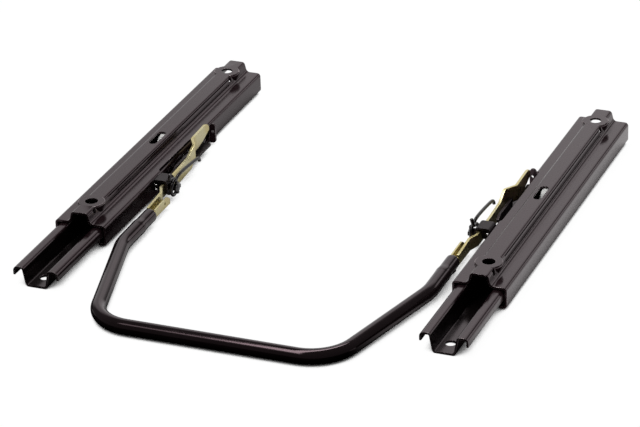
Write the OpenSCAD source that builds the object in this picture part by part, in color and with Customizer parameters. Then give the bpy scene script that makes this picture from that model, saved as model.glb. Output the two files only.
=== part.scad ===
// Seat slide rail set: two mirrored slides and one release bar, in millimetres.
// X is across the set, Y runs to the rear, Z is up, and the floor is at Z = 0.

/* [Set] */
// Distance between the two rails' centre lines
rail_spacing = 380; // [300:1:480]
// Length of each floor rail and each seat rail
rail_len = 360; // [320:1:460]
// How far the seat rails stand behind the floor rails at rest
rest_offset = 91; // [85:1:100]
// Thickness of the rails' sheet
sheet = 2; // [1.5:0.1:2.2]

/* [Seat rail] */
// Overall width over the side walls
seat_w = 50; // [49:0.5:56]
// Height of the shoulders above the floor
shoulder_z = 21.2; // [20.5:0.1:23]
// Gap between the floor and the side walls
foot_gap = 1.4; // [1.2:0.1:3]
// Height of the crown above the shoulders
crown_h = 10; // [9:0.1:14]
// Width of the crown at its top
crown_top_w = 16.8; // [16:0.2:18]
// Width of the crown at its foot
crown_foot_w = 21.6; // [21:0.2:25]
// How far the hooks reach inward from the wall
hook_reach = 6.5; // [5:0.1:7]
// Height of the turned-up hook ends
hook_up = 4.8; // [3:0.1:5]
// Distance of the crown's slot from the front end
slot_at = 169; // [150:1:185]
// Width of the crown's slot
slot_w = 8; // [6:0.2:9]
// Length of the crown's slot
slot_len = 28; // [20:1:40]
// How far the ear behind the window stands out
ear_out = 6.6; // [5:0.1:8]
// Height of the ear's small hole
ear_hole_z = 14; // [10:0.5:16]

/* [Floor rail] */
// Width of the base over its walls
base_w = 21; // [20:0.5:23]
// Gap between the two lips at the top
lip_gap = 23; // [22.5:0.5:26]
// Height of the lips above the floor
lip_z = 18.2; // [17:0.1:18.4]
// Gap between a lip and the seat rail's wall
lip_clear = 1; // [0.8:0.1:1.5]
// Height of the turned-down part of a lip
lip_drop = 8.4; // [7:0.1:8.6]
// Bend radius of a lip's outer edge, at the middle of the sheet
lip_bend_r = 3.4; // [2:0.1:3.6]

/* [Bolt holes] */
// Diameter of the floor bolt holes
floor_hole_d = 9.4; // [6:0.1:10]
// Distance of the floor bolt holes from the rail's ends
floor_hole_end = 17.5; // [14:0.5:25]
// Diameter of the front seat bolt holes
seat_hole_front_d = 11.8; // [8:0.1:12]
// Diameter of the rear seat bolt holes
seat_hole_rear_d = 11; // [8:0.1:12]
// Distance of the seat bolt holes from the rail's ends
seat_hole_end = 25.5; // [20:0.5:30]
// Radius of a bolt pad's top
pad_r = 12.8; // [12:0.1:13.4]
// Radius of a bolt pad's foot
pad_foot_r = 10; // [9:0.1:11]
// Distance of a pad's slits in front of its hole
pad_slit_at = 12.7; // [12:0.1:14]
// Length of a pad's slits
pad_slit_len = 5; // [3:0.2:6]

/* [Lock] */
// Pitch of the notches and of the comb's teeth
notch_pitch = 10; // [8:0.5:12]
// Width of a tooth
tooth_w = 4.6; // [3:0.1:5]
// Gap between a tooth and a notch, each side
tooth_clear = 0.5; // [0.4:0.05:0.8]
// Distance of the middle tooth from the seat rail's front end
tooth_at = 200; // [198:1:203]
// Distance of the window in the inner wall from the front end
window_at = 122; // [118:1:124]
// Length of the window in the inner wall
window_len = 110; // [105:1:120]
// Height of the window's lower edge
window_z = 9; // [8:0.1:10]
// Distance of the pivot stud from the seat rail's front end
pivot_at = 110; // [107:1:112]
// Height of the pivot stud
pivot_z = 13; // [12.8:0.1:13.4]
// Thickness of the lever plate
lever_t = 2.6; // [2:0.1:2.8]
// Diameter of the pivot stud
stud_d = 6.8; // [6:0.1:7.2]
// Radial clearance of the lever on the stud
stud_clear = 0.05; // [0.03:0.01:0.09]
// Diameter of the spring wire
wire_d = 2.8; // [2:0.1:2.9]

/* [Release bar] */
// Outside diameter of the bar's tube
tube_d = 14; // [13.6:0.1:14.2]
// Wall thickness of the tube
tube_wall = 1.3; // [1:0.1:1.4]
// Distance of the bar's front from the seat rails' front ends
bar_reach = 144; // [120:1:170]
// Width of the bar between its two front corners
bar_front_w = 219; // [190:1:240]
// Bend radius of the front corners on the tube's centre line
bar_bend_r = 40; // [30:1:46]
// Bend radius of the rear bends on the tube's centre line
rear_bend_r = 60; // [40:1:70]
// Diameter of the tube's drawn-in ends
tube_end_d = 13.2; // [12:0.1:13.4]
// Length of the tube's drawn-in ends
tube_end_len = 26; // [20:1:30]

/* [Rollers] */
// Width of a roller
roller_w = 6; // [5:0.2:7]
// Gap between a roller and the rails above and below it
roller_gap = 0.3; // [0.2:0.05:0.4]
// Distance between the two rollers of a cage
roller_pitch = 110; // [90:1:120]
// Distance of the rear roller from the seat rail's front end
roller_at = 184; // [180:1:188]

/* [Hidden] */
$fn = 64;
arc_n = 7;
e = 0.5;
rail_x = rail_spacing / 2;
floor_y0 = -rail_len / 2;
seat_y0 = floor_y0 + rest_offset;
seat_y1 = seat_y0 + rail_len;
wall_x = rail_x - seat_w / 2;
lip_w = seat_w - 2 * sheet - 2 * lip_clear;
lip_x = rail_x - lip_w / 2;
lip_low = lip_z - lip_drop;
crown_z = shoulder_z + crown_h;
hole_y0 = seat_y0 + seat_hole_end;
hole_y1 = seat_y1 - seat_hole_end;
win_y0 = seat_y0 + window_at;
win_y1 = win_y0 + window_len;
win_r = 4;
ear_t = 2.4;
piv_y = seat_y0 + pivot_at;
tooth_y = seat_y0 + tooth_at;
tooth_top = lip_low - 0.4;
tooth_t = 2.6;
notch_n = 21;
notch_h = 3.2;
comb_t = 2.2;
comb_z = tooth_top - tooth_t;
comb_out = 8.6;
comb_front = 14;
stem_x = wall_x - 6.2;
stem_top = pivot_z + 4.8;
head_x = wall_x - comb_t - lever_t / 2;
mid_x = head_x - 7.2;
front_x = mid_x - 4.3;
lever_ky = (tooth_at - pivot_at) / 90;
lever_kz = pivot_z / 13;
lever_y0 = piv_y - 52 * lever_ky;
bracket_t = 2.2;
bracket_w = 16;
bush_r = stud_d / 2 + 1.8;
lever_top = 19.1 * lever_kz;
cheek_x = mid_x - lever_t / 2 - 0.6 - bracket_t / 2;
stud_end_x = cheek_x - bracket_t / 2 - 7.6;
clip_t = 1.2;
coil_r = stud_d / 2 + 4.2;
coil_pitch = wire_d - 0.2;
coil_x = cheek_x - bracket_t / 2 - 0.4 - wire_d / 2 - coil_pitch;
tube_x = front_x - 3.8;
tube_r = tube_d / 2;
tube_end_r = tube_end_d / 2;
tube_y1 = lever_y0 - 3;
tube_end_z = 10 * lever_kz;
bar_y = seat_y0 - bar_reach;
bar_z = tube_r + 0.2;
bar_s = tube_y1 - bar_y;
roll_r = (crown_z - 2 * sheet - 2 * roller_gap) / 2;
roll_z = sheet + roller_gap + roll_r;
roll_y = seat_y0 + roller_at;
axle_r = 2.2;
axle_clear = 0.06;
cage_t = 1.4;
cage_h = 9;
cage_x = roller_w / 2 + 0.5;

function unit(v) = v / norm(v);
function left_of(d) = [-d[1], d[0]];
function turned(v) = [for (i = [len(v) - 1 : -1 : 0]) v[i]];

// Points of one bend on one side (s = 1 left, s = -1 right) of a folded strip
function bend(p0, p1, p2, r, s, t) =
    let (d0 = unit(p1 - p0), d1 = unit(p2 - p1))
    let (g = sign(d0[0] * d1[1] - d0[1] * d1[0]), th = acos(d0 * d1))
    let (c = p1 - d0 * r * tan(th / 2) + left_of(d0) * g * r)
    let (q = r - s * g * t / 2, a = atan2(-g * left_of(d0)[1], -g * left_of(d0)[0]))
    [for (i = [0 : arc_n]) c + q * [cos(a + g * th * i / arc_n), sin(a + g * th * i / arc_n)]];

// One side of a folded strip along the points p, with the bend radii r
function strip_side(p, r, t, s) =
    let (n = len(p))
    concat([p[0] + left_of(unit(p[1] - p[0])) * s * t / 2],
        [for (i = [1 : n - 2]) each bend(p[i - 1], p[i], p[i + 1], r[i - 1], s, t)],
        [p[n - 1] + left_of(unit(p[n - 1] - p[n - 2])) * s * t / 2]);

function strip(p, r, t) = concat(strip_side(p, r, t, 1), turned(strip_side(p, r, t, -1)));

// A profile in X and Z, drawn along Y
module along_y(y0, y1) {
    translate([0, y1, 0]) rotate([90, 0, 0]) linear_extrude(y1 - y0) children();
}

// A profile in Y and Z, drawn along X
module along_x(x0, x1) {
    translate([x0, 0, 0]) rotate([90, 0, 90]) linear_extrude(x1 - x0) children();
}

module box(x0, x1, y0, y1, z0, z1) {
    translate([x0, y0, z0]) cube([x1 - x0, y1 - y0, z1 - z0]);
}

module rod_x(x0, x1, y, z, r) {
    translate([x0, y, z]) rotate([0, 90, 0]) cylinder(r = r, h = x1 - x0);
}

module rod(a, b, r) {
    d = b - a;
    translate(a) rotate([0, acos(d[2] / norm(d)), atan2(d[1], d[0])]) cylinder(r = r, h = norm(d));
}

module left() {
    mirror([1, 0, 0]) children();
}

// Upright slot along Y with round ends
module slot_cut(x, y, w, l, z0, z1) {
    box(x - w / 2, x + w / 2, y - l / 2 + w / 2, y + l / 2 - w / 2, z0, z1);
    for (k = [-1, 1]) translate([x, y + k * (l - w) / 2, z0]) cylinder(r = w / 2, h = z1 - z0);
}

// Floor rail of the right side
module floor_rail() {
    h = sheet / 2;
    a = [lip_w / 2 - h, lip_low];
    b = [lip_w / 2 - h, lip_z - h];
    c = [lip_gap / 2 + h, lip_z - h];
    d = [base_w / 2 - h, h];
    p = [[-a[0], a[1]], [-b[0], b[1]], [-c[0], c[1]], [-d[0], d[1]], d, c, b, a];
    difference() {
        translate([rail_x, 0, 0]) along_y(floor_y0, floor_y0 + rail_len)
            polygon(strip(p, [lip_bend_r, 2, 2.4, 2.4, 2, lip_bend_r], sheet));
        for (k = [-1, 1]) translate([rail_x, k * (rail_len / 2 - floor_hole_end), -e])
            cylinder(d = floor_hole_d, h = sheet + 2 * e);
        for (i = [0 : notch_n - 1]) notch(tooth_y + notch_pitch * (1 - i));
    }
}

// One lock notch in the lower edge of the inner lip
module notch(y) {
    w = tooth_w / 2 + tooth_clear;
    box(lip_x - e, lip_x + sheet + e, y - w, y + w, lip_low - 1, lip_low + notch_h);
}

// Seat rail of the right side
module seat_rail() {
    h = sheet / 2;
    a = [seat_w / 2 - h - hook_reach, foot_gap + h + hook_up];
    b = [seat_w / 2 - h - hook_reach, foot_gap + h];
    c = [seat_w / 2 - h, foot_gap + h];
    d = [seat_w / 2 - h, shoulder_z - h];
    f = [crown_foot_w / 2 - h, shoulder_z - h];
    g = [crown_top_w / 2 - h, crown_z - h];
    p = [[-a[0], a[1]], [-b[0], b[1]], [-c[0], c[1]], [-d[0], d[1]], [-f[0], f[1]],
        [-g[0], g[1]], g, f, d, c, b, a];
    difference() {
        union() {
            translate([rail_x, 0, 0]) along_y(seat_y0, seat_y1)
                polygon(strip(p, [1.8, 2.2, 2.4, 5, 2.4, 2.4, 5, 2.4, 2.2, 1.8], sheet));
            for (y = [hole_y0, hole_y1]) pad(y);
        }
        seat_hole(hole_y0, seat_hole_front_d);
        seat_hole(hole_y1, seat_hole_rear_d);
        for (y = [hole_y0, hole_y1], k = [-1, 1]) pad_slit(y, k);
        slot_cut(rail_x, seat_y0 + slot_at, slot_w, slot_len, crown_z - sheet - e, crown_z + e);
        window();
    }
    ear();
}

module seat_hole(y, d) {
    translate([rail_x, y, crown_z - sheet - e]) cylinder(d = d, h = sheet + 2 * e);
}

// Lobes pressed out on both sides of the crown around a seat bolt hole
module pad(y) {
    h = sheet / 2;
    rim = 0.8;
    f = crown_foot_w / 2 - h;
    g = crown_top_w / 2 - h;
    translate([rail_x, y, 0]) difference() {
        union() {
            translate([0, 0, shoulder_z]) cylinder(r1 = pad_foot_r, r2 = pad_r, h = crown_h - sheet);
            translate([0, 0, crown_z - sheet]) cylinder(r = pad_r, h = sheet - rim);
            translate([0, 0, crown_z - rim]) cylinder(r1 = pad_r, r2 = pad_r - rim, h = rim);
        }
        along_y(-pad_r - e, pad_r + e)
            polygon([[-f, shoulder_z - sheet], [f, shoulder_z - sheet], [g, crown_z - h], [-g, crown_z - h]]);
    }
}

// Slit in the crown's edge where a pad's lobe begins
module pad_slit(y, k) {
    x = crown_top_w / 2;
    x0 = rail_x + (k > 0 ? x - 1 : -x - 1.4);
    y0 = y - pad_slit_at - pad_slit_len / 2;
    box(x0, x0 + 2.4, y0, y0 + pad_slit_len, crown_z - 6, crown_z + e);
}

// Opening in the inner wall for the lever's rear end and the comb
module window() {
    x0 = wall_x - 10;
    x1 = wall_x + sheet + 1.6;
    top = shoulder_z + e;
    box(x0, x1, win_y0 + win_r, win_y1 - win_r, window_z, top);
    box(x0, x1 - win_r, win_y0, win_y1, window_z, top);
    for (y = [win_y0 + win_r, win_y1 - win_r]) translate([x1 - win_r, y, window_z])
        cylinder(r = win_r, h = top - window_z);
    w = 2 * notch_pitch;
    box(x0, wall_x + sheet + hook_reach + 1.6, tooth_y - w, tooth_y + w, foot_gap - e, window_z + 6);
}

// Ear bent out of the inner wall behind the window
module ear() {
    r = 3.2;
    x0 = wall_x - ear_out;
    z0 = foot_gap + 0.8;
    z1 = shoulder_z + 0.9;
    difference() {
        union() {
            box(x0 + r, wall_x + e, win_y1, win_y1 + ear_t, z0, shoulder_z - 1.4);
            translate([x0, 0, 0]) along_y(win_y1, win_y1 + ear_t) {
                translate([0, z0 + r]) square([r, z1 - z0 - 2 * r]);
                translate([r, z0 + r]) circle(r = r);
                translate([r, z1 - r]) circle(r = r);
            }
        }
        translate([x0 + r - e, win_y1 - e, ear_hole_z]) rotate([-90, 0, 0])
            cylinder(d = 2.6, h = ear_t + 2 * e);
    }
}

// Folded bracket over the lever that carries the stud's outer end
module pivot_bracket() {
    w = bracket_w / 2;
    z0 = pivot_z - stud_d / 2 - 4;
    z1 = lever_top + 0.5 + bracket_t / 2;
    x1 = wall_x - bracket_t / 2;
    c = 3;
    g = bush_r + 0.4;
    p = [[cheek_x, z0], [cheek_x, z1], [x1, z1], [x1, pivot_z - 3]];
    difference() {
        along_y(piv_y - w, piv_y + w) polygon(strip(p, [1.8, 1.8], bracket_t));
        rod_x(cheek_x - bracket_t, cheek_x + bracket_t, piv_y, pivot_z, stud_d / 2);
        box(x1 - bracket_t, wall_x + e, piv_y - g, piv_y + g, z0, pivot_z + g);
        for (k = [-1, 1]) translate([cheek_x, piv_y + k * w, z0]) rotate([45, 0, 0])
            cube([2 * c, 2 * c, 2 * c], center = true);
    }
}

// Stud that the lever turns on, fixed to the rail's wall
module pivot_stud() {
    rod_x(stud_end_x, wall_x, piv_y, pivot_z, stud_d / 2);
}

// Bush that keeps the lever off the rail's wall
module spacer_bush() {
    difference() {
        rod_x(mid_x + lever_t / 2 + 0.3, wall_x, piv_y, pivot_z, bush_r);
        rod_x(mid_x, wall_x + 1, piv_y, pivot_z, stud_d / 2);
    }
}

// Push-on clip at the stud's end
module stud_clip() {
    x = stud_end_x + 0.4;
    difference() {
        rod_x(x, x + clip_t, piv_y, pivot_z, stud_d / 2 + 2.6);
        rod_x(x - e, x + clip_t + e, piv_y, pivot_z, stud_d / 2);
        box(x - e, x + clip_t + e, piv_y - 0.8, piv_y + 0.8, pivot_z, pivot_z + stud_d);
    }
}

// Lock lever of the right side: plan shape and side shape cut from one plate
module lock_lever() {
    difference() {
        union() {
            intersection() {
                translate([0, 0, -shoulder_z]) linear_extrude(4 * shoulder_z)
                    polygon(strip(lever_plan(), [4, 4, 4, 4], lever_t));
                along_x(front_x - 20, wall_x) polygon(lever_side());
            }
            lever_front();
            lever_tongue();
        }
        rod_x(mid_x - 5, mid_x + 5, piv_y, pivot_z, stud_d / 2 + stud_clear);
    }
}

// Lever outline points: distance behind the pivot and height
function lever_plan() = [for (q = [[head_x, 116], [head_x, 75], [mid_x, 63.5], [mid_x, -13],
    [front_x, -22], [front_x, -52]]) [q[0], piv_y + q[1] * lever_ky]];

function lever_side() = [for (q = [[-52, 15.2], [-26, 17.2], [-12, 18.2], [22, 19], [48, 20.6],
    [57, 25.4], [63, 27.6], [74, 27.4], [104, 28.8], [109, 27.6], [112, 24.4], [112, 20.8],
    [101, 16.6], [96, 15], [85, 13], [70, 12], [61, 12.6], [56, 9], [53, 6.6], [25, 4.8],
    [14, 6.4], [-14, 6.4], [-22, 5.6], [-52, 5.6]]) [piv_y + q[0] * lever_ky, q[1] * lever_kz]];

// Folded front of the lever: a floor and an inner cheek
module lever_front() {
    t = 1.8;
    x0 = tube_x - 3.6;
    x1 = front_x - lever_t / 2;
    l = 33 * lever_ky;
    z0 = 5.6 * lever_kz;
    difference() {
        box(x0, x1 + e, lever_y0, lever_y0 + l, z0, z0 + 2.4);
        for (k = [0.25, 0.7])
            translate([(x0 + t + x1) / 2, lever_y0 + k * l, z0 - e]) cylinder(r = 1.4, h = 4);
    }
    difference() {
        along_x(x0, x0 + t) translate([lever_y0, z0])
            polygon([[0, 0], [l, 0], [l, 5.4], [l - 6, 9], [0, 8.2]]);
        rod_x(x0 - 1, x0 + 4, lever_y0 + 0.66 * l, z0 + 4.8, 1.2);
    }
}

// Channelled tongue that goes into the tube's end
module lever_tongue() {
    w = tube_end_r - tube_wall - 1.2;
    h = 2.7;
    l = 24;
    z = tube_end_z + 0.1;
    difference() {
        box(tube_x - w, tube_x + w, lever_y0 - l, lever_y0 + e, z - h, z + h);
        box(tube_x - w + 2, tube_x + w - 2, lever_y0 - l - e, lever_y0 + 2 * e, z - h + 2.2, z + h + e);
    }
}

// Toothed plate on the lever's rear end
module lock_comb() {
    y0 = tooth_y - notch_pitch - 6;
    y1 = tooth_y + notch_pitch + 6;
    w = tooth_w / 2;
    along_x(wall_x - comb_t, wall_x) polygon([[y0, comb_z], [y1, comb_z], [y1, comb_z + 7.6],
        [y1 - 5, comb_z + 9.4], [y0 + 4, comb_z + 6.6], [y0, comb_z + 5.6]]);
    box(wall_x - comb_out, wall_x - 0.5, y0 - comb_front, y1, comb_z, tooth_top);
    along_x(stem_x, stem_x + comb_t) translate([y0 - comb_front, 0]) polygon([[6, comb_z], [6, stem_top],
        [-27, stem_top], [-34, stem_top - 3], [-34, comb_z + 5], [-22, comb_z]]);
    for (i = [-1 : 1]) translate([0, tooth_y + i * notch_pitch, 0])
        box(wall_x - e, lip_x + sheet + 2, -w, w, comb_z, tooth_top);
}

// Torsion spring around the stud, its turns drawn as rings, with two arms
module lever_spring() {
    r = wire_d / 2;
    x1 = coil_x + coil_pitch;
    translate([coil_x, piv_y, pivot_z]) rotate([0, 90, 0]) rotate_extrude()
        for (i = [0, 1]) translate([coil_r, i * coil_pitch]) circle(r = r);
    a = [coil_x, piv_y + coil_r * cos(60), pivot_z + coil_r * sin(60)];
    b = [coil_x, piv_y + 52, pivot_z + 6.4];
    c = [coil_x + 0.4, piv_y + 57, pivot_z + 2.4];
    wire([a, b, c], r);
    d = [x1, piv_y - coil_r * cos(30), pivot_z + coil_r * sin(30)];
    f = [x1, piv_y - 6.4, pivot_z + 12];
    g = [x1 - 1.8, piv_y - 7, pivot_z + 16.4];
    wire([d, f, g], r);
}

// Round wire along three points
module wire(p, r) {
    rod(p[0], p[1], r);
    translate(p[1]) sphere(r = r + 0.03);
    rod(p[1], p[2], r);
}

// Half of the bar in its own plane, from the middle to the tube's end
module half_bar(r, end_r, last) {
    w = bar_front_w / 2;
    yb = bar_s - tube_end_len - 34;
    ang = atan2(tube_x - w, yb);
    t1 = bar_bend_r * tan((90 - ang) / 2);
    t2 = rear_bend_r * tan(ang / 2);
    u = [sin(ang), cos(ang), 0];
    q = [tube_x, yb, 0] - u * t2;
    k = 0.4;
    y0 = yb + t2 - k;
    y1 = bar_s - tube_end_len;
    rod([-1, 0, 0], [w - t1 + k, 0, 0], r);
    translate([w - t1, bar_bend_r, 0]) rotate([0, 0, -90]) rotate_extrude(angle = 90 - ang)
        translate([bar_bend_r, 0]) circle(r = r + 0.03);
    rod([w, 0, 0] + u * (t1 - k), q + u * k, r);
    translate(q) rotate([0, 0, -ang]) translate([-rear_bend_r, 0, 0]) rotate_extrude(angle = ang)
        translate([rear_bend_r, 0]) circle(r = r + 0.03);
    translate([tube_x, 0, 0]) rotate([-90, 0, 0]) rotate_extrude()
        polygon([[0, y0], [r, y0], [r, y1], [end_r, y1 + 6], [end_r, bar_s + last], [0, bar_s + last]]);
}

// Bent tube for both sides, tilted so that its front lies on the floor
module release_bar() {
    bore_r = tube_r - tube_wall;
    bore_end_r = tube_end_r - tube_wall;
    translate([0, bar_y, bar_z]) rotate([atan2(tube_end_z - bar_z, bar_s), 0, 0]) difference() {
        union() {
            half_bar(tube_r, tube_end_r, 0);
            left() half_bar(tube_r, tube_end_r, 0);
        }
        union() {
            half_bar(bore_r, bore_end_r, 2);
            left() half_bar(bore_r, bore_end_r, 2);
        }
    }
}

// Cage that keeps the two rollers of one side apart
module roller_cage() {
    y0 = roll_y - roller_pitch;
    h = cage_h / 2;
    gap = roll_r + 1.2;
    translate([rail_x, 0, roll_z]) {
        for (k = [-1, 1]) difference() {
            x = k > 0 ? cage_x : -cage_x - cage_t;
            box(x, x + cage_t, y0 - cage_h, roll_y + cage_h, -h, h);
            for (y = [roll_y, y0]) rod_x(x - e, x + cage_t + e, y, 0, axle_r + axle_clear);
        }
        box(-cage_x - 0.2, cage_x + 0.2, y0 + gap, roll_y - gap, -1, 1);
    }
}

// Roller with its two short axles
module roller(y) {
    c = 0.8;
    translate([rail_x, y, roll_z]) rotate([0, 90, 0]) {
        cylinder(r = roll_r, h = roller_w - 2 * c, center = true);
        for (k = [0, 1]) mirror([0, 0, k]) translate([0, 0, roller_w / 2 - c])
            cylinder(r1 = roll_r, r2 = roll_r - c, h = c);
        cylinder(r = axle_r, h = 2 * (cage_x + cage_t), center = true);
    }
}

module left_floor_rail() { color([0.09, 0.085, 0.09]) left() floor_rail(); }
module right_floor_rail() { color([0.09, 0.085, 0.09]) floor_rail(); }
module left_seat_rail() { color([0.11, 0.10, 0.105]) left() seat_rail(); }
module right_seat_rail() { color([0.11, 0.10, 0.105]) seat_rail(); }
module left_pivot_bracket() { color([0.07, 0.07, 0.07]) left() pivot_bracket(); }
module right_pivot_bracket() { color([0.07, 0.07, 0.07]) pivot_bracket(); }
module left_pivot_stud() { color([0.12, 0.12, 0.12]) left() pivot_stud(); }
module right_pivot_stud() { color([0.12, 0.12, 0.12]) pivot_stud(); }
module left_spacer_bush() { color([0.1, 0.1, 0.1]) left() spacer_bush(); }
module right_spacer_bush() { color([0.1, 0.1, 0.1]) spacer_bush(); }
module left_stud_clip() { color([0.2, 0.2, 0.2]) left() stud_clip(); }
module right_stud_clip() { color([0.2, 0.2, 0.2]) stud_clip(); }
module left_lock_lever() { color([0.72, 0.66, 0.42]) left() lock_lever(); }
module right_lock_lever() { color([0.72, 0.66, 0.42]) lock_lever(); }
module left_lock_comb() { color([0.08, 0.08, 0.08]) left() lock_comb(); }
module right_lock_comb() { color([0.08, 0.08, 0.08]) lock_comb(); }
module left_lever_spring() { color([0.16, 0.14, 0.14]) left() lever_spring(); }
module right_lever_spring() { color([0.16, 0.14, 0.14]) lever_spring(); }
module bar() { color([0.05, 0.05, 0.05]) release_bar(); }
module left_roller_cage() { color([0.25, 0.25, 0.26]) left() roller_cage(); }
module right_roller_cage() { color([0.25, 0.25, 0.26]) roller_cage(); }
module left_front_roller() { color([0.9, 0.9, 0.88]) left() roller(roll_y - roller_pitch); }
module right_front_roller() { color([0.9, 0.9, 0.88]) roller(roll_y - roller_pitch); }
module left_rear_roller() { color([0.9, 0.9, 0.88]) left() roller(roll_y); }
module right_rear_roller() { color([0.9, 0.9, 0.88]) roller(roll_y); }

left_floor_rail();
right_floor_rail();
left_seat_rail();
right_seat_rail();
left_pivot_bracket();
right_pivot_bracket();
left_pivot_stud();
right_pivot_stud();
left_spacer_bush();
right_spacer_bush();
left_stud_clip();
right_stud_clip();
left_lock_lever();
right_lock_lever();
left_lock_comb();
right_lock_comb();
left_lever_spring();
right_lever_spring();
bar();  // release_bar
left_roller_cage();
right_roller_cage();
left_front_roller();
right_front_roller();
left_rear_roller();
right_rear_roller();
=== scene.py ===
from math import cos, pi, radians, sin, tan

import bpy
from mathutils import Matrix, Vector


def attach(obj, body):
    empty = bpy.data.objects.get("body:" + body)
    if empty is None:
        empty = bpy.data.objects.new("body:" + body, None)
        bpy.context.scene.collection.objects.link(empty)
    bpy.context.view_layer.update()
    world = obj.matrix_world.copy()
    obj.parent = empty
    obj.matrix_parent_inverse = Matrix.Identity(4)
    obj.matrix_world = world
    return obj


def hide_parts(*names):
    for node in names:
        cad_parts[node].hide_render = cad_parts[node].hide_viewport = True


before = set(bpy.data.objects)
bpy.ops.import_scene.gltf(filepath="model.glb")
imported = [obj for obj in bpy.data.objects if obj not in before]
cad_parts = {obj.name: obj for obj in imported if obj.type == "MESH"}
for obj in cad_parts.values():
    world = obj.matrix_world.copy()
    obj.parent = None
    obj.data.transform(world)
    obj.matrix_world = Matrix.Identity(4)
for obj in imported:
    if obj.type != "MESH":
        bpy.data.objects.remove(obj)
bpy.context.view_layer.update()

# Sizes and places of the part are in millimetres here. The scene is in metres.
MM = 0.001
SIDES = ("left", "right")
RAIL_X = 190
MERGE_GAP = 0.002


# Working with one piece at a time

def metres(*sizes):
    """Millimetres as the scene's metres."""
    return tuple(size * MM for size in sizes)


def into_scene(name, data):
    """A new object in the scene with this mesh, camera or lamp."""
    thing = bpy.data.objects.new(name, data)
    bpy.context.scene.collection.objects.link(thing)
    return thing


def only(piece):
    """Selects this piece alone and makes it the active one."""
    bpy.ops.object.select_all(action="DESELECT")
    piece.select_set(True)
    bpy.context.view_layer.objects.active = piece


def open_mesh(piece, mode="FACE", action="DESELECT"):
    """Goes into edit mode on this piece with nothing selected, or with everything."""
    only(piece)
    bpy.ops.object.mode_set(mode="EDIT")
    bpy.ops.mesh.select_mode(type=mode)
    bpy.ops.mesh.select_all(action=action)


def close_mesh():
    """Leaves edit mode."""
    bpy.ops.object.mode_set(mode="OBJECT")


def pick(piece, kind, test):
    """From edit mode, selects those of the mesh's polygons or vertices that pass the test."""
    close_mesh()
    mesh = piece.data
    for group in (mesh.vertices, mesh.edges, mesh.polygons):
        group.foreach_set("select", [False] * len(group))
    for part in getattr(mesh, kind):
        part.select = test(part)
    bpy.ops.object.mode_set(mode="EDIT")


def use_modifier(piece, kind, **settings):
    """Adds a modifier, sets it and applies it."""
    only(piece)
    modifier = piece.modifiers.new(kind.lower(), kind)
    for key, value in settings.items():
        setattr(modifier, key, value)
    bpy.ops.object.modifier_apply(modifier=modifier.name)


def smooth(piece, angle=32):
    """Smooth shading that keeps the flat faces flat."""
    only(piece)
    bpy.ops.object.shade_smooth_by_angle(angle=radians(angle))
    use_modifier(piece, "WEIGHTED_NORMAL", keep_sharp=True, weight=60)


def mirrored(piece, name):
    """A copy for the other side, with a mesh of its own."""
    twin = into_scene(name, piece.data.copy())
    open_mesh(twin, action="SELECT")
    bpy.ops.transform.resize(value=(-1, 1, 1), center_override=(0, 0, 0))
    bpy.ops.mesh.normals_make_consistent(inside=False)
    close_mesh()
    return twin


def sheet_copy(node, name):
    """A merged copy of a CAD node, flat faces joined, to be finished as a piece."""
    piece = into_scene(name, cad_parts[node].data.copy())
    piece.data.materials.clear()
    open_mesh(piece, action="SELECT")
    bpy.ops.mesh.remove_doubles(threshold=MERGE_GAP * MM)
    bpy.ops.mesh.dissolve_limited(angle_limit=radians(0.4))
    close_mesh()
    return piece


def break_edges(piece, width, angle=34):
    """Rounds the sharp edges and marks the rounded faces for the rubbed paint, which also serves as a painted
    highlight.
    """
    # The modifier tells the rounded faces apart by giving them the second of two empty material slots.
    piece.data.materials.append(None)
    piece.data.materials.append(None)
    use_modifier(piece, "BEVEL", width=width * MM, segments=2, limit_method="ANGLE",
                 angle_limit=radians(angle), use_clamp_overlap=False, material=1, loop_slide=False)
    rim = piece.data.attributes.new("rim", "FLOAT", "FACE")
    for face in piece.data.polygons:
        rim.data[face.index].value = float(face.material_index == 1)
        face.material_index = 0
    piece.data.materials.clear()


def settle(piece, body, slot, finish, *nodes):
    """Gives a finished piece its material and its body and hides the CAD nodes it stands for. The slot is not
    used.
    """
    piece.data.materials.clear()
    piece.data.materials.append(finish)
    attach(piece, body)
    if nodes:
        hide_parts(*nodes)


def settle_both(piece, body, slot, finish, part=None):
    """Settles a piece of the right side and its mirrored twin, each for its side's part if one is named."""
    twin = mirrored(piece, piece.name.replace("right_", "left_"))
    for side, each in (("right_", piece), ("left_", twin)):
        nodes = [side + part] if part else []
        settle(each, body, slot, finish, *nodes)


# Shader nodes

WHITE = (1, 1, 1, 1)


def feed(tree, socket, value):
    """Links a socket to the value, or sets it where the value is a plain one."""
    if isinstance(value, bpy.types.NodeSocket):
        tree.links.new(value, socket)
    else:
        socket.default_value = value


def connect(tree, node, **values):
    """Feeds the named inputs of a node."""
    for key, value in values.items():
        feed(tree, node.inputs[key.replace("_", " ")], value)


def add(tree, kind, *values, **settings):
    """Adds a node. Values feed its inputs in turn, capital names the inputs so named, others set the node."""
    node = tree.nodes.new("ShaderNode" + kind)
    for key, value in settings.items():
        if key[0].isupper():
            connect(tree, node, **{key: value})
        else:
            setattr(node, key, value)
    for socket, value in zip(node.inputs, values):
        feed(tree, socket, value)
    return node


def maths(tree, how, *values):
    """One sum on one or two numbers."""
    return add(tree, "Math", *values, operation=how).outputs[0]


def ramp(tree, value, low, high):
    """Goes softly from 0 at low to 1 at high. Low can be the larger of the two."""
    node = add(tree, "MapRange", interpolation_type="SMOOTHSTEP", Value=value, From_Min=low, From_Max=high)
    return node.outputs["Result"]


def spread(tree, value, least, most, low=0.0, high=1.0):
    """Goes evenly from least to most while the value goes from low to high."""
    node = add(tree, "MapRange", Value=value, From_Min=low, From_Max=high, To_Min=least, To_Max=most)
    return node.outputs["Result"]


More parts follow.
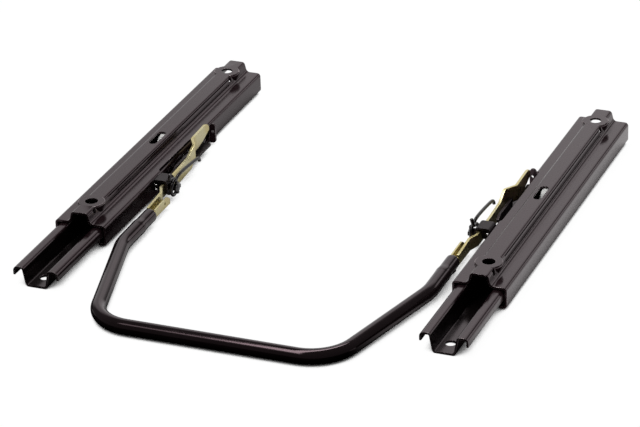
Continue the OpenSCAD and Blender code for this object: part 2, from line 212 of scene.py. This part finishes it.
def mix(tree, factor, first, second):
    """Goes from the first colour to the second with the factor."""
    node = add(tree, "Mix", data_type="RGBA")
    sockets = {socket.identifier: socket for socket in (*node.inputs, *node.outputs)}
    for label, value in (("Factor_Float", factor), ("A_Color", first), ("B_Color", second)):
        feed(tree, sockets[label], value)
    return sockets["Result_Color"]


def blend(tree, factor, first, second):
    """Goes from the first shader to the second with the factor."""
    return add(tree, "MixShader", factor, first.outputs[0], second.outputs[0])


def own_place(tree):
    """The place on a piece in the piece's own axes."""
    return add(tree, "TexCoord").outputs["Object"]


def axes(tree, place):
    """A place or direction as its X, Y and Z."""
    return add(tree, "SeparateXYZ", Vector=place).outputs


def noise(tree, place, scale, **settings):
    """Cloudy noise from 0 to 1."""
    return add(tree, "TexNoise", Vector=place, Scale=scale, **settings).outputs["Fac"]


def face_mark(tree, name):
    """What a face attribute of the mesh says."""
    return add(tree, "Attribute", attribute_name=name).outputs["Fac"]


def bump(tree, shader, height, strength, depth):
    """Fine relief of this depth in millimetres."""
    node = add(tree, "Bump", Height=height, Strength=strength, Distance=depth * MM)
    connect(tree, shader, Normal=node.outputs["Normal"])


# Shader groups shared by the finishes

def new_group(name, inputs, results):
    """A shader group with these number inputs, by name and default, and these number results."""
    group = bpy.data.node_groups.new(name, "ShaderNodeTree")
    for label, value in inputs.items():
        socket = group.interface.new_socket(label, in_out="INPUT", socket_type="NodeSocketFloat")
        socket.default_value = value
    for label in results:
        group.interface.new_socket(label, in_out="OUTPUT", socket_type="NodeSocketFloat")
    return group, group.nodes.new("NodeGroupInput").outputs, group.nodes.new("NodeGroupOutput")


def place_group(tree, group, **values):
    """Puts a shader group into a material and gives its results."""
    return add(tree, "Group", node_tree=group, **values).outputs


def make_dip_coat():
    """Unevenness of a black dip coat: cloudy tone, fine peel, dust specks and paint rubbed through on edges,
    which is also a painted highlight.
    """
    group, given, results = new_group(
        "dip_coat",
        {"Cloud size": 18.0, "Peel size": 900.0, "Edge wear": 0.5},
        ("Cloud", "Peel", "Specks", "Thin"))
    place = own_place(group)
    cloud = noise(group, place, given["Cloud size"], Detail=4.0, Roughness=0.6)
    peel = noise(group, place, given["Peel size"], Detail=2.0, Roughness=0.5)
    speck = add(group, "TexVoronoi", Vector=place, Scale=420.0).outputs["Distance"]
    grit = noise(group, place, 160.0, Detail=5.0, Roughness=0.7)
    # Paint rubbed off the broken edges: real wear, and also a painted highlight.
    rubbed_and_glinting = maths(group, "MULTIPLY", face_mark(group, "rim"), ramp(group, grit, 0.42, 0.66))
    specks = maths(group, "MULTIPLY", ramp(group, speck, 0.16, 0.05), ramp(group, grit, 0.5, 0.7))
    wear_and_glint = maths(group, "MULTIPLY", rubbed_and_glinting, given["Edge wear"])
    connect(group, results, Cloud=cloud, Peel=peel, Specks=specks, Thin=wear_and_glint)
    return group


def make_passivation():
    """Colour drift, bloom and rolled grain of yellow passivated zinc."""
    group, given, results = new_group(
        "yellow_passivation",
        {"Drift size": 40.0},
        ("Drift", "Bloom", "Grain"))
    place = own_place(group)
    drift = noise(group, place, given["Drift size"], Detail=3.0, Distortion=0.6)
    bloom = noise(group, place, 170.0, Detail=4.0, Roughness=0.65)
    along = add(group, "Mapping", Vector=place, Scale=(1.0, 0.06, 1.0)).outputs["Vector"]
    grain = noise(group, along, 1500.0, Detail=2.0)
    connect(group, results, Drift=drift, Bloom=bloom, Grain=grain)
    return group


dip_coat = make_dip_coat()
passivation = make_passivation()


# Finishes

RUBBED_STEEL_AND_GLINT = (0.4, 0.36, 0.36, 1)
# Near-black of the painted shade in the floor rails' channel and in the creases.
PAINTED_SHADE = (0.004, 0.003, 0.003, 1)
# Extent of the painted shade inside the floor rails' channel.
CHANNEL_SHADE_HALF_WIDTH = (12.4, 10.6)
CHANNEL_SHADE_HEIGHT = (18, 16.4)


def new_finish(name, **settings):
    """A material, its nodes and its shader, with these settings of the shader."""
    material = bpy.data.materials.new(name)
    material.use_nodes = True
    tree = material.node_tree
    shader = tree.nodes["Principled BSDF"]
    connect(tree, shader, **settings)
    return material, tree, shader


def inside_channel(tree):
    """Painted shade inside the two floor rails, found by its place between the lips."""
    axis = axes(tree, own_place(tree))
    across = maths(tree, "SUBTRACT", maths(tree, "ABSOLUTE", axis["X"]), RAIL_X * MM)
    between = ramp(tree, maths(tree, "ABSOLUTE", across), *metres(*CHANNEL_SHADE_HALF_WIDTH))
    return maths(tree, "MULTIPLY", between, ramp(tree, axis["Z"], *metres(*CHANNEL_SHADE_HEIGHT)))


def black_coat(name, dark, light, rough, wear, cloud_size=18.0, shine=0.5, peel_depth=0.03, painted_shade=False):
    """Black paint over steel: cloudy tone, slight peel, pale specks, rubbed edges that are also a painted
    highlight and, if asked for, painted shade in the floor rails' channel and in the creases.
    """
    material, tree, shader = new_finish(name, Specular_IOR_Level=shine, Specular_Tint=(1.0, 0.72, 0.8, 1))
    coat = place_group(tree, dip_coat, Cloud_size=cloud_size, Edge_wear=wear)
    pale = tuple(2.6 * part for part in light)
    tone = mix(tree, ramp(tree, coat["Cloud"], 0.35, 0.68), (*dark, 1), (*light, 1))
    tone = mix(tree, coat["Specks"], tone, (*pale, 1))
    # Rubbed steel on the edges, lightened as wear and as a painted highlight.
    tone = mix(tree, coat["Thin"], tone, RUBBED_STEEL_AND_GLINT)
    gloss = spread(tree, coat["Cloud"], rough - 0.04, rough + 0.05, 0.3, 0.7)
    metal = maths(tree, "MULTIPLY", coat["Thin"], 0.55)
    # Painted shade: the paint is darkened to near-black inside the floor rails' channel and in the crown
    # creases.
    if painted_shade:
        # In the creases the painted shade is also rough and has no sheen of its own, so that they stay dark.
        crease_shade = face_mark(tree, "crease_shade")
        tone = mix(tree, maths(tree, "MAXIMUM", inside_channel(tree), crease_shade), tone, PAINTED_SHADE)
        gloss = maths(tree, "MAXIMUM", gloss, crease_shade)
        metal = maths(tree, "MAXIMUM", metal, crease_shade)
    connect(tree, shader, Base_Color=tone, Roughness=gloss, Metallic=metal)
    bump(tree, shader, coat["Peel"], 0.25, peel_depth)
    return material


def yellow_zinc_finish():
    """Yellow passivated zinc with a warmer bloom in places."""
    material, tree, shader = new_finish("yellow_zinc", Metallic=1.0)
    skin = place_group(tree, passivation)
    tone = mix(tree, ramp(tree, skin["Drift"], 0.36, 0.64), (0.62, 0.53, 0.25, 1), (0.66, 0.6, 0.36, 1))
    tone = mix(tree, ramp(tree, skin["Bloom"], 0.55, 0.8), tone, (0.72, 0.5, 0.36, 1))
    connect(tree, shader, Base_Color=tone, Roughness=spread(tree, skin["Bloom"], 0.24, 0.4, 0.3, 0.7))
    bump(tree, shader, skin["Grain"], 0.3, 0.04)
    return material


def oiled_wire_finish():
    """Dark oiled spring steel."""
    material, tree, shader = new_finish("oiled_wire", Metallic=0.15)
    coat = place_group(tree, dip_coat, Cloud_size=60.0, Peel_size=1600.0, Edge_wear=0.0)
    tone = mix(tree, ramp(tree, coat["Cloud"], 0.35, 0.7), (0.008, 0.006, 0.0065, 1), (0.02, 0.013, 0.014, 1))
    connect(tree, shader, Base_Color=tone, Roughness=spread(tree, coat["Cloud"], 0.13, 0.22, 0.3, 0.7))
    bump(tree, shader, coat["Peel"], 0.2, 0.04)
    return material


def rivet_glint_finish():
    """Bright bare steel of the rivet heads; their brightness is a painted glint."""
    material, tree, shader = new_finish("rivet_glint_steel", Metallic=1.0)
    skin = place_group(tree, passivation, Drift_size=300.0)
    # The light steel tone is a painted glint on the rivet heads.
    tone = mix(tree, skin["Drift"], (0.5, 0.48, 0.47, 1), (0.68, 0.66, 0.64, 1))
    connect(tree, shader, Base_Color=tone, Roughness=spread(tree, skin["Bloom"], 0.2, 0.36))
    return material


def moulded_nylon_finish():
    """White moulded nylon of the rollers."""
    material, tree, shader = new_finish("moulded_nylon")
    coat = place_group(tree, dip_coat, Cloud_size=90.0, Peel_size=700.0, Edge_wear=0.0)
    tone = mix(tree, coat["Cloud"], (0.8, 0.8, 0.78, 1), (0.9, 0.9, 0.88, 1))
    connect(tree, shader, Base_Color=tone, Roughness=spread(tree, coat["Cloud"], 0.38, 0.52))
    bump(tree, shader, coat["Peel"], 0.15, 0.05)
    return material


# The rails' strong edge wear also lightens their edges as a painted highlight.
rail_paint = black_coat("rail_black", dark=(0.012, 0.006, 0.0075), light=(0.019, 0.01, 0.012), rough=0.17,
                        wear=0.95, shine=0.55, painted_shade=True)
small_paint = black_coat("small_black", dark=(0.006, 0.005, 0.005), light=(0.011, 0.009, 0.009), rough=0.36,
                         wear=0.5, cloud_size=40.0, shine=0.25)
bar_paint = black_coat("bar_black", dark=(0.008, 0.005, 0.0055), light=(0.012, 0.008, 0.009), rough=0.1,
                       wear=0.3, peel_depth=0.02)
yellow_zinc = yellow_zinc_finish()
oiled_wire = oiled_wire_finish()
moulded_nylon = moulded_nylon_finish()
rivet_glint_steel = rivet_glint_finish()


# Rails, levers and small parts

CREASE_FRONT = -46
CREASE_REAR = 228
CREASE_DEPTH = 0.6
CREASE_HEIGHTS = ((28.5, 29.7), (24, 24.9))
CROWN_SIDE_NEAR = 7.9
CROWN_SIDE_FAR = 11.5


def cut_all(place, way):
    """Cuts the whole open mesh by a plane and keeps both sides."""
    bpy.ops.mesh.select_all(action="SELECT")
    bpy.ops.mesh.bisect(plane_co=metres(*place), plane_no=way, threshold=1e-7)


def crown_creases(piece, middle):
    """Two fine creases on each side of the crown, between the bolt pads, marked for painted shade in them."""
    open_mesh(piece)
    for y in (CREASE_FRONT, CREASE_REAR):
        cut_all((0, y, 0), (0, 1, 0))
    for z in sum(CREASE_HEIGHTS, ()):
        cut_all((0, 0, z), (0, 0, 1))

    def in_crease(face):
        x, y, z = face.center / MM
        out = x - middle
        on_side = CROWN_SIDE_NEAR < abs(out) < CROWN_SIDE_FAR and face.normal.x * out > 0
        at_height = any(low < z < top for low, top in CREASE_HEIGHTS)
        return on_side and at_height and CREASE_FRONT < y < CREASE_REAR

    pick(piece, "polygons", in_crease)
    close_mesh()
    shade_mark = piece.data.attributes.new("crease_shade", "FLOAT", "FACE")
    shade_mark.data.foreach_set("value", [float(face.select) for face in piece.data.polygons])
    bpy.ops.object.mode_set(mode="EDIT")
    bpy.ops.mesh.extrude_region_shrink_fatten(TRANSFORM_OT_shrink_fatten={"value": -CREASE_DEPTH * MM})
    close_mesh()
    # The lower flank of a groove faces up and is left out of the painted shade.
    shade_mark = piece.data.attributes["crease_shade"]
    for face in piece.data.polygons:
        if face.normal.z > 0.75:
            shade_mark.data[face.index].value = 0.0


def rail(node, body, edge):
    """A rail with broken edges, pressed flat where they rise above its top. A seat rail gets creases."""
    piece = sheet_copy(node, node + "_sheet")
    top = max(vert.co.z for vert in piece.data.vertices)
    break_edges(piece, edge)
    open_mesh(piece, "VERT")
    pick(piece, "vertices", lambda vert: vert.co.z > top)
    bpy.ops.transform.resize(value=(1, 1, 0), center_override=(0, 0, top))
    close_mesh()
    if body == "seat_rails":
        crown_creases(piece, RAIL_X if node.startswith("right") else -RAIL_X)
    smooth(piece)
    settle(piece, body, "rail_black", rail_paint, node)


def small_part(node, body, slot, finish, edge, ending="_part"):
    """A CAD node with broken edges."""
    piece = sheet_copy(node, node + ending)
    break_edges(piece, edge)
    smooth(piece)
    settle(piece, body, slot, finish, node)


# The release bar, drawn ring by ring along its bends

BAR_Y = -233
BAR_Z = 7.2
BAR_HALF = 109.5
BAR_RUN = 199
BAR_ARM_X = 146.2
BAR_REAR_BEND = 139
BAR_ANGLE = radians(14.79)
BAR_TILT = radians(0.806)
FRONT_BEND_R = 40
REAR_BEND_R = 60
TUBE_R = 7
TUBE_END_R = 6.6
TUBE_BORE_R = 5.7
TUBE_END_BORE_R = 5.3
MARK_FRONT = 187
MARK_REAR = 192.5
MARK_RIM = 0.35
MARK_DEPTH = 1
MARK_WAY = Vector((-0.55, 0, 0.83))

# Place along the arm and radius of the rings at its end: a bead, the drawn-in stretch, the mouth, the bore.
TUBE_END_RINGS = (
    (169, TUBE_R), (171, 7.15), (173.5, 7.2), (176, TUBE_R),
    (179, 6.65), (182, 6.55), (MARK_FRONT, TUBE_END_R), (MARK_REAR, TUBE_END_R),
    (196.6, TUBE_END_R), (198.4, 6.55), (BAR_RUN, 6.2), (BAR_RUN, 5.5),
    (198.5, TUBE_END_BORE_R), (178, TUBE_END_BORE_R))


def push(x, y=0, z=0):
    """Draws the chosen ring or face on by a straight run."""
    bpy.ops.mesh.extrude_region_move(TRANSFORM_OT_translate={"value": metres(x, y, z)})


def ring_bend(angle, middle, steps):
    """Draws the chosen ring on around an upright axis."""
    bpy.ops.mesh.spin(steps=steps, angle=-angle, center=metres(*middle, 0), axis=(0, 0, 1))


def draw_half_bar():
    """From the bar's middle along both bends to the mouth of the tube, and back inside."""
    front_turn = pi / 2 - BAR_ANGLE
    front_run = FRONT_BEND_R * tan(front_turn / 2)
    rear_run = REAR_BEND_R * tan(BAR_ANGLE / 2)
    along = Vector((sin(BAR_ANGLE), cos(BAR_ANGLE)))
    first = Vector((BAR_HALF, 0)) + along * front_run
    last = Vector((BAR_ARM_X, BAR_REAR_BEND)) - along * rear_run
    front_middle = (BAR_HALF - front_run, FRONT_BEND_R)
    rear_middle = last + Vector((-along.y, along.x)) * REAR_BEND_R
    bend_end = BAR_REAR_BEND + rear_run

    push(BAR_HALF - front_run)
    ring_bend(front_turn, front_middle, 20)
    push(*(last - first))
    ring_bend(BAR_ANGLE, rear_middle, 8)
    here, radius = bend_end, TUBE_R
    for there, wide in (*TUBE_END_RINGS, (bend_end, TUBE_BORE_R)):
        push(0, there - here)
        factor = wide / radius
        bpy.ops.transform.resize(value=(factor, 1, factor), center_override=metres(BAR_ARM_X, there, 0))
        here, radius = there, wide
    ring_bend(-BAR_ANGLE, rear_middle, 8)
    push(*(first - last))
    ring_bend(-front_turn, front_middle, 20)
    push(front_run - BAR_HALF)


def sink_mark(tube):
    """The short dent on the upper inner side of the tube's end."""

    def on_mark(face):
        x, y, z = face.center / MM
        outside = Vector((x - BAR_ARM_X, z)).length > TUBE_BORE_R
        return outside and MARK_FRONT < y < MARK_REAR and face.normal.dot(MARK_WAY) > 0.955

    pick(tube, "polygons", on_mark)
    bpy.ops.mesh.inset(thickness=MARK_RIM * MM, depth=0)
    bpy.ops.transform.translate(value=metres(*(-MARK_DEPTH * MARK_WAY)))


def bent_tube():
    """Half the bar, then its mirror half, tilted onto the floor."""
    bpy.ops.object.select_all(action="DESELECT")
    bpy.ops.mesh.primitive_circle_add(vertices=40, radius=TUBE_R * MM, rotation=(0, pi / 2, 0))
    tube = bpy.context.object
    tube.name = "release_bar_tube"
    bpy.ops.object.transform_apply(location=False, rotation=True, scale=False)
    open_mesh(tube, "VERT", "SELECT")
    draw_half_bar()
    sink_mark(tube)
    close_mesh()
    use_modifier(tube, "MIRROR", use_axis=(True, False, False), use_mirror_merge=True, merge_threshold=1e-5)
    tube.rotation_euler = (BAR_TILT, 0, 0)
    tube.location = metres(0, BAR_Y, BAR_Z)
    only(tube)
    bpy.ops.object.transform_apply(location=True, rotation=True, scale=True)
    open_mesh(tube, action="SELECT")
    bpy.ops.mesh.normals_make_consistent(inside=False)
    close_mesh()
    smooth(tube, 40)
    settle(tube, "bar_and_levers", "bar_black", bar_paint, "release_bar")


# The lever springs, bent from one wire

PIVOT_Y = 21
PIVOT_Z = 13
COIL_R = 7.7
COIL_OUT = 145.7
COIL_IN = 148.4
COIL_START = 68
COIL_STEP = 22.5
COIL_STEPS = 17
WIRE_R = 1.6


def spring_path():
    """Hooked rear arm, one turn around the stud, and the bent-up front end."""
    arm = [(146.2, 77.6, 14.4), (146.1, 77.2, 16.6), (146, 75.6, 18.6), (145.8, 72, 19.6),
           (145.7, 60, 20.8), (145.7, 45, 22), (145.7, 34, 22.4), (145.7, 27, 21.8)]
    turn = []
    for step in range(COIL_STEPS + 1):
        angle = radians(COIL_START + COIL_STEP * step)
        x = COIL_OUT + (COIL_IN - COIL_OUT) * step / COIL_STEPS
        turn.append((x, PIVOT_Y + COIL_R * cos(angle), PIVOT_Z + COIL_R * sin(angle)))
    front = [(148.4, 15.8, 21.4), (148.3, 14.4, 23), (147.9, 14.1, 25.5), (147.2, 13.9, 28),
             (146.9, 13.8, 29.2)]
    return arm + turn + front


def lever_springs():
    """A round wire along the path, with capped ends, for each side."""
    bpy.ops.object.select_all(action="DESELECT")
    bpy.ops.curve.primitive_nurbs_path_add()
    wire = bpy.context.object
    wire.name = "right_lever_spring_wire"
    curve = wire.data
    curve.splines.clear()
    path = spring_path()
    line = curve.splines.new("NURBS")
    line.points.add(len(path) - 1)
    for point, place in zip(line.points, path):
        point.co = (*metres(*place), 1)
    line.order_u = 4
    line.use_endpoint_u = True
    line.resolution_u = 5
    curve.bevel_depth = WIRE_R * MM
    curve.bevel_resolution = 5
    curve.use_fill_caps = True
    only(wire)
    bpy.ops.object.convert(target="MESH")
    wire = bpy.context.object
    open_mesh(wire, action="SELECT")
    bpy.ops.mesh.remove_doubles(threshold=MERGE_GAP * MM)
    bpy.ops.mesh.normals_make_consistent(inside=False)
    close_mesh()
    break_edges(wire, 0.3, angle=50)
    smooth(wire, 50)
    settle_both(wire, "bar_and_levers", "spring_steel", oiled_wire, "lever_spring")


# Push nuts on the stud ends and rivets at the front of the pivot brackets' wall flanges

NUT_X = 142.5
NUT_T = 1.7
NUT_R = 3.9
NUT_LOBE = 1.9
NUT_RIM = 1.1
NUT_DOME = (0.5, 0.7)
RIVET_X = 161.9
RIVET_Y = 14.3
RIVET_HEIGHTS = (16, 11.4)
RIVET_R = 1.15
RIVET_T = 1.8
RIVET_DOME = ((0.35, 0.85), (0.2, 0.7), (0.08, 0.4))


def disc_across(name, sides, radius, thick, place):
    """A short cylinder whose axis lies across the rails, open for editing."""
    bpy.ops.object.select_all(action="DESELECT")
    bpy.ops.mesh.primitive_cylinder_add(vertices=sides, radius=radius * MM, depth=thick * MM,
                                        rotation=(0, pi / 2, 0), location=metres(*place))
    disc = bpy.context.object
    disc.name = name
    bpy.ops.object.transform_apply(location=True, rotation=True, scale=True)
    open_mesh(disc)
    return disc


def raise_end(rise, factor, y, z):
    """Draws the chosen end face of a disc out towards the middle of the set and shrinks it."""
    push(-rise)
    bpy.ops.transform.resize(value=(1, factor, factor), center_override=metres(0, y, z))


def push_nuts():
    """A disc with four lobes and a raised middle, for each side."""
    nut = disc_across("right_push_nut", 32, NUT_R, NUT_T, (NUT_X + NUT_T / 2, PIVOT_Y, PIVOT_Z))
    middle = Vector(metres(0, PIVOT_Y, PIVOT_Z))

    def on_lobe(face):
        out = (face.center - middle).yz
        return abs(face.normal.x) <= 0.5 and max(abs(out.x), abs(out.y)) > 0.93 * out.length

    def on_end(face):
        return face.normal.x < -0.9 and (face.center - middle).yz.length < 1 * MM

    pick(nut, "polygons", on_lobe)
    bpy.ops.mesh.extrude_region_shrink_fatten(TRANSFORM_OT_shrink_fatten={"value": NUT_LOBE * MM})
    pick(nut, "polygons", on_end)
    bpy.ops.mesh.inset(thickness=NUT_RIM * MM, depth=0)
    raise_end(*NUT_DOME, PIVOT_Y, PIVOT_Z)
    close_mesh()
    break_edges(nut, 0.35)
    smooth(nut, 40)
    settle_both(nut, "seat_rails", "spring_steel", oiled_wire, "stud_clip")


def bracket_rivets():
    """One domed rivet head, copied below itself, for each side."""
    upper, lower = RIVET_HEIGHTS
    rivets = disc_across("right_bracket_rivets", 20, RIVET_R, RIVET_T, (RIVET_X, RIVET_Y, upper))
    pick(rivets, "polygons", lambda face: face.normal.x < -0.9)
    for rise, factor in RIVET_DOME:
        raise_end(rise, factor, RIVET_Y, upper)
    bpy.ops.mesh.select_all(action="SELECT")
    bpy.ops.mesh.duplicate_move(TRANSFORM_OT_translate={"value": metres(0, 0, lower - upper)})
    close_mesh()
    smooth(rivets, 50)
    settle_both(rivets, "seat_rails", "spring_steel", rivet_glint_steel)


for side in SIDES:
    rail(side + "_floor_rail", "floor_rails", edge=0.45)
    rail(side + "_seat_rail", "seat_rails", edge=0.3)
    small_part(side + "_lock_lever", "bar_and_levers", "yellow_zinc", yellow_zinc, edge=0.35, ending="_plate")
    small_part(side + "_pivot_bracket", "seat_rails", "small_black", small_paint, edge=0.3)
    small_part(side + "_pivot_stud", "seat_rails", "small_black", small_paint, edge=0.4)
    small_part(side + "_spacer_bush", "seat_rails", "small_black", small_paint, edge=0.3)
    small_part(side + "_lock_comb", "bar_and_levers", "small_black", small_paint, edge=0.25)
    small_part(side + "_roller_cage", side + "_cage", "small_black", small_paint, edge=0.2)
    small_part(side + "_front_roller", side + "_roller_1", "nylon", moulded_nylon, edge=0.3)
    small_part(side + "_rear_roller", side + "_roller_2", "nylon", moulded_nylon, edge=0.3)
bent_tube()
lever_springs()
push_nuts()
bracket_rivets()


# Floor, light and camera, in metres. The lens and its shift are in pixels of the photo.

LENS_PIXELS = 3136
PHOTO_WIDTH = 640
SHIFT_RIGHT = -25
SHIFT_UP = -6.5
SENSOR_WIDTH = 36
CAMERA_PLACE = (0.98459, -2.34506, 1.26533)
CAMERA_RIGHT = Vector((0.93084, 0.36449, -0.0262))
CAMERA_FORWARD = Vector((-0.33833, 0.83251, -0.43869))
FLOOR_SIZE = 14
FLOOR_DROP = 0.0002
SWEEP_WAY = (-0.377, 0.926, 0)
PANE_WAY = (0.488, 0.828, 0.276)


def photo_camera():
    """Camera of the photograph: its place, turn, lens and small shift."""
    camera = into_scene("camera", bpy.data.cameras.new("camera"))
    bpy.context.scene.camera = camera
    turn = Matrix((CAMERA_RIGHT, CAMERA_RIGHT.cross(CAMERA_FORWARD), -CAMERA_FORWARD)).transposed()
    camera.matrix_world = Matrix.Translation(CAMERA_PLACE) @ turn.to_4x4()
    camera.data.sensor_width = SENSOR_WIDTH
    camera.data.lens = SENSOR_WIDTH * LENS_PIXELS / PHOTO_WIDTH
    camera.data.shift_x = SHIFT_RIGHT / PHOTO_WIDTH
    camera.data.shift_y = SHIFT_UP / PHOTO_WIDTH
    camera.data.clip_end = 40


def pale_floor():
    """White floor with a faint shadow; in gloss it is bright to the right and dark in front."""
    bpy.ops.object.select_all(action="DESELECT")
    bpy.ops.mesh.primitive_plane_add(size=FLOOR_SIZE, location=(0, 0, -FLOOR_DROP))
    floor = bpy.context.object
    floor.name = "pale_floor"
    material, tree, shader = new_finish("pale_floor", Roughness=0.9, Base_Color=(0.5, 0.5, 0.5, 1),
                                        Specular_IOR_Level=0.0)
    close_air = add(tree, "AmbientOcclusion", samples=8, Distance=0.022).outputs["AO"]
    wide_air = add(tree, "AmbientOcclusion", samples=8, Distance=0.06).outputs["AO"]
    axis = axes(tree, own_place(tree))
    to_right = spread(tree, axis["X"], 0.5, 1.0, -0.25, 0.2)
    lit = maths(tree, "MULTIPLY", to_right, ramp(tree, axis["Y"], -0.22, -0.1))
    # In gloss the floor's glow is also dimmed close to the parts: a painted shadow that the reflections show.
    gloss = maths(tree, "MULTIPLY", lit, ramp(tree, wide_air, 0.45, 0.8))
    bounce = add(tree, "Emission", Color=WHITE, Strength=gloss)
    glow = add(tree, "Emission", Color=WHITE, Strength=1.06)
    share = maths(tree, "MULTIPLY", 0.93, ramp(tree, close_air, 0.2, 0.46))
    seen = add(tree, "LightPath").outputs["Is Camera Ray"]
    both = blend(tree, seen, bounce, blend(tree, share, shader, glow))
    connect(tree, tree.nodes["Material Output"], Surface=both.outputs[0])
    floor.data.materials.append(material)


def facing(tree, direction, way):
    """1 where a direction goes the given way, less where it turns from it."""
    return add(tree, "VectorMath", direction, way, operation="DOT_PRODUCT").outputs["Value"]


def studio_world():
    """White sweep behind the object, a white pane to its right, a dim room, white where the camera looks."""
    world = bpy.data.worlds.new("studio")
    bpy.context.scene.world = world
    world.use_nodes = True
    tree = world.node_tree
    direction = add(tree, "TexCoord").outputs["Generated"]
    axis = axes(tree, direction)
    flat = add(tree, "VectorMath", direction, (1, 1, 0), operation="MULTIPLY").outputs["Vector"]
    level = add(tree, "VectorMath", flat, operation="NORMALIZE").outputs["Vector"]
    behind = ramp(tree, facing(tree, level, SWEEP_WAY), 0.76, 0.92)
    sweep = maths(tree, "MULTIPLY", behind, ramp(tree, axis["Z"], 0.72, 0.56))
    sweep = maths(tree, "MULTIPLY", sweep, spread(tree, axis["X"], 0.68, 1.0, -0.42, -0.27))
    pane = ramp(tree, facing(tree, direction, PANE_WAY), 0.979, 0.989)
    room = spread(tree, maths(tree, "MAXIMUM", sweep, pane), 0.1, 1.12)
    seen = add(tree, "LightPath").outputs["Is Camera Ray"]
    connect(tree, tree.nodes["Background"], Color=WHITE, Strength=maths(tree, "MAXIMUM", room, seen))


def softbox(name, place, aim, width, length, power):
    """A flat lamp that faces the point it is aimed at."""
    lamp = into_scene(name, bpy.data.lights.new(name, "AREA"))
    lamp.data.shape = "RECTANGLE"
    lamp.data.size = width
    lamp.data.size_y = length
    lamp.data.energy = power
    lamp.location = place
    lamp.rotation_euler = (Vector(aim) - Vector(place)).to_track_quat("-Z", "Y").to_euler()


photo_camera()
pale_floor()
studio_world()
softbox("top_strip", place=(-0.3, 0.1, 1.7), aim=(-0.05, 0.05, 0), width=2.4, length=0.4, power=20)
softbox("front_box", place=(-0.6, -1.05, 1.55), aim=(0, -0.1, 0), width=0.9, length=0.4, power=2)
bpy.context.scene.view_settings.view_transform = "Standard"
